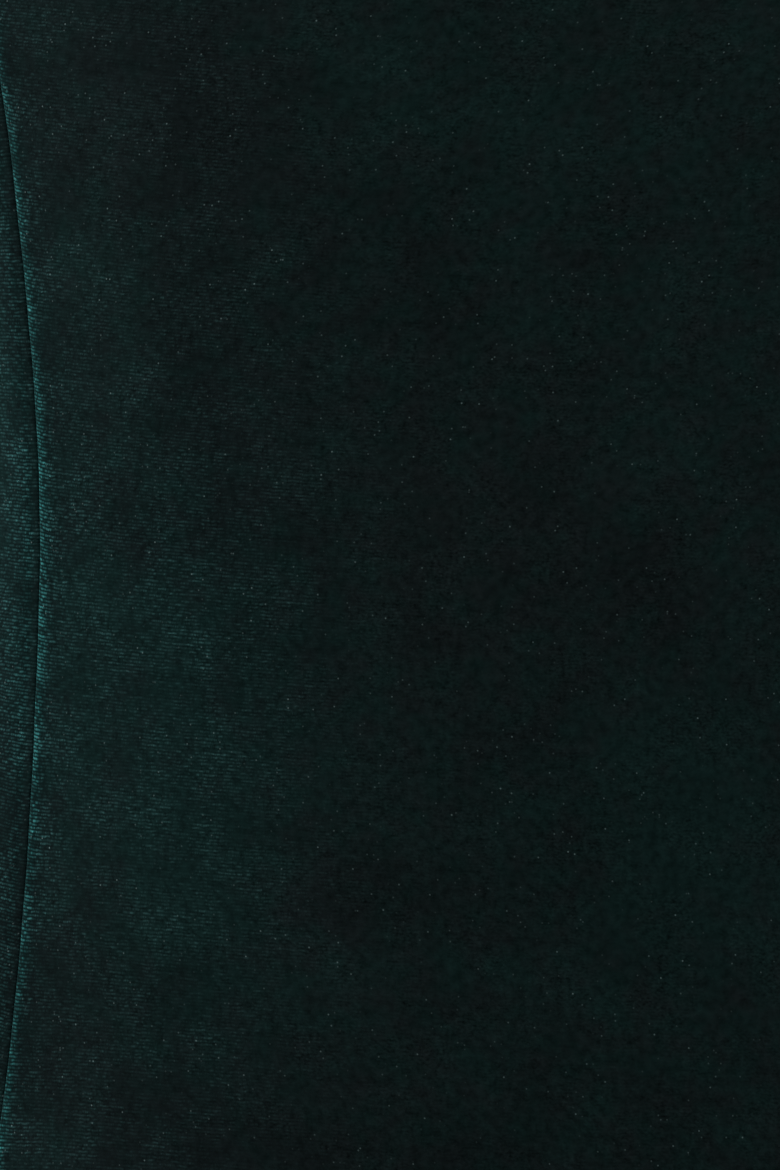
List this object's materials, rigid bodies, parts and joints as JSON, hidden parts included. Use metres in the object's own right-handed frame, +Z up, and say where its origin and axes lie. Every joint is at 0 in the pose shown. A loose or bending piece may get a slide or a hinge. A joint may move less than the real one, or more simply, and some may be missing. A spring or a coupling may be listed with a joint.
{
  "type": "evening gown",
  "caption": "Floor-length sleeveless evening gown in dark stretch velvet, V neck, shaped waist and flared skirt in soft flutes, hollow as worn.",
  "frame": {"origin": "midway between the two shoulder straps, at the level where they rest on the wearer's shoulders", "axes": "+Z up, along the gown's length; -Y out of the front; +X toward the wearer's left"},
  "size_m": [0.6285, 0.5948, 1.4736],
  "materials": {
    "velvet": "matte pile, brighter at grazing angles",
    "band_velvet": "matte pile, brighter at grazing angles"
  },
  "bodies": {
    "root": {"front": "velvet", "back": "velvet", "neck_band": "band_velvet", "armhole_band_left": "band_velvet", "armhole_band_right": "band_velvet"}
  },
  "joints": []
}
